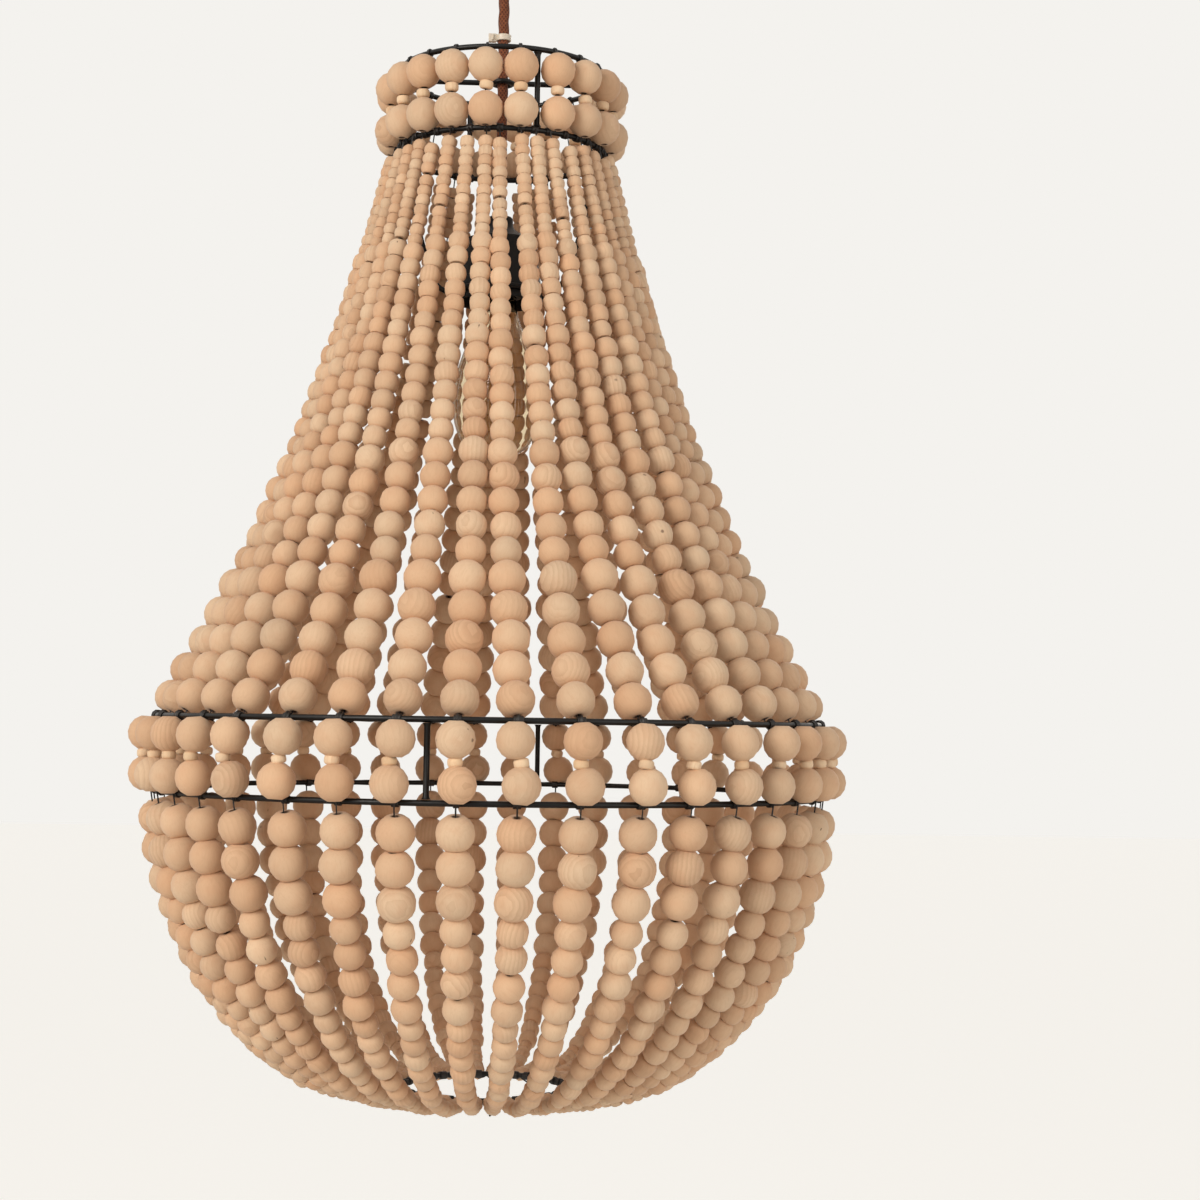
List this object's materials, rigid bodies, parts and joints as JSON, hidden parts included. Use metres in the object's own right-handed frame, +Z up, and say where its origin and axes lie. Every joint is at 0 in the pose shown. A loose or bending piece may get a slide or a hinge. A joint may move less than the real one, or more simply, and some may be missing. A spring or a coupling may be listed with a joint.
{
  "type": "beaded chandelier",
  "caption": "Beaded chandelier: graded turned wooden beads strung between black wire rings, flaring from a crown to a waist above a basket, on a fabric cord with a bell cup and clear bulb.",
  "frame": {"origin": "centre of the ceiling face of the mounting strap, in the rose's open side", "axes": "+Z up into the ceiling, +X to the lamp's right, -Y towards its front"},
  "size_m": [0.518, 0.518, 0.8596],
  "materials": {
    "black_wire": "satin black powder coat",
    "raw_wood": "raw turned wood, matt",
    "black_shell": "matt black lacquer",
    "black_nylon": "moulded, matt",
    "rust_fabric": "braided fabric",
    "white_nylon": "moulded nylon, natural",
    "brass_cap": "bright",
    "clear_glass": "clear, lightly amber",
    "bulb_wire": "drawn wire",
    "zinc_steel": "zinc plated"
  },
  "bodies": {
    "ceiling_fitting": {"ceiling_rose": "black_shell", "mounting_strap": "zinc_steel", "rose_screw_left": "zinc_steel", "rose_screw_right": "zinc_steel", "terminal_block": "white_nylon", "cord_tail": "rust_fabric"},
    "cord_gland": {"cord_grip": "black_nylon", "grip_nut": "black_nylon"},
    "pendant": {"suspension_cord": "rust_fabric", "cable_tie": "white_nylon", "lampholder_cup": "black_shell", "lampholder_core": "black_nylon"},
    "shade": {"crown_upper_ring": "black_wire", "crown_lower_ring": "black_wire", "waist_upper_ring": "black_wire", "waist_lower_ring": "black_wire", "bottom_ring": "black_wire", "crown_strut_1": "black_wire", "crown_strut_2": "black_wire", "crown_strut_3": "black_wire", "crown_strut_4": "black_wire", "waist_strut_1": "black_wire", "waist_strut_2": "black_wire", "waist_strut_3": "black_wire", "waist_strut_4": "black_wire", "top_bar": "black_wire", "holder_bracket": "black_wire", "crown_beads_1": "raw_wood", "crown_beads_2": "raw_wood", "crown_beads_3": "raw_wood", "crown_beads_4": "raw_wood", "upper_strands_01": "raw_wood", "upper_strands_02": "raw_wood", "upper_strands_03": "raw_wood", "upper_strands_04": "raw_wood", "upper_strands_05": "raw_wood", "upper_strands_06": "raw_wood", "upper_strands_07": "raw_wood", "upper_strands_08": "raw_wood", "upper_strands_09": "raw_wood", "upper_strands_10": "raw_wood", "basket_strands_01": "raw_wood", "basket_strands_02": "raw_wood", "basket_strands_03": "raw_wood", "basket_strands_04": "raw_wood", "basket_strands_05": "raw_wood", "basket_strands_06": "raw_wood", "basket_strands_07": "raw_wood", "basket_strands_08": "raw_wood", "basket_strands_09": "raw_wood", "basket_strands_10": "raw_wood"},
    "bulb": {"bulb_cap": "brass_cap", "bulb_glass": "clear_glass", "bulb_filament": "bulb_wire"}
  },
  "joints": [
    {"name": "cord_twist", "type": "hinge", "parent": "ceiling_fitting", "child": "cord_gland", "pos_m": [0, 0, -0.034], "axis": [0, 0, 1], "range_deg": [-180, 180]},
    {"name": "pendant_swing", "type": "hinge", "parent": "cord_gland", "child": "pendant", "pos_m": [0, 0, -0.034], "axis": [1, 0, 0], "range_deg": [-15, 15]},
    {"name": "frame_turn", "type": "hinge", "parent": "pendant", "child": "shade", "pos_m": [0, 0, -0.274], "axis": [0, 0, 1], "continuous": true},
    {"name": "bulb_unscrew", "type": "hinge", "parent": "pendant", "child": "bulb", "pos_m": [0, 0, -0.26], "axis": [0, 0, -1], "range_deg": [0, 1260]}
  ]
}
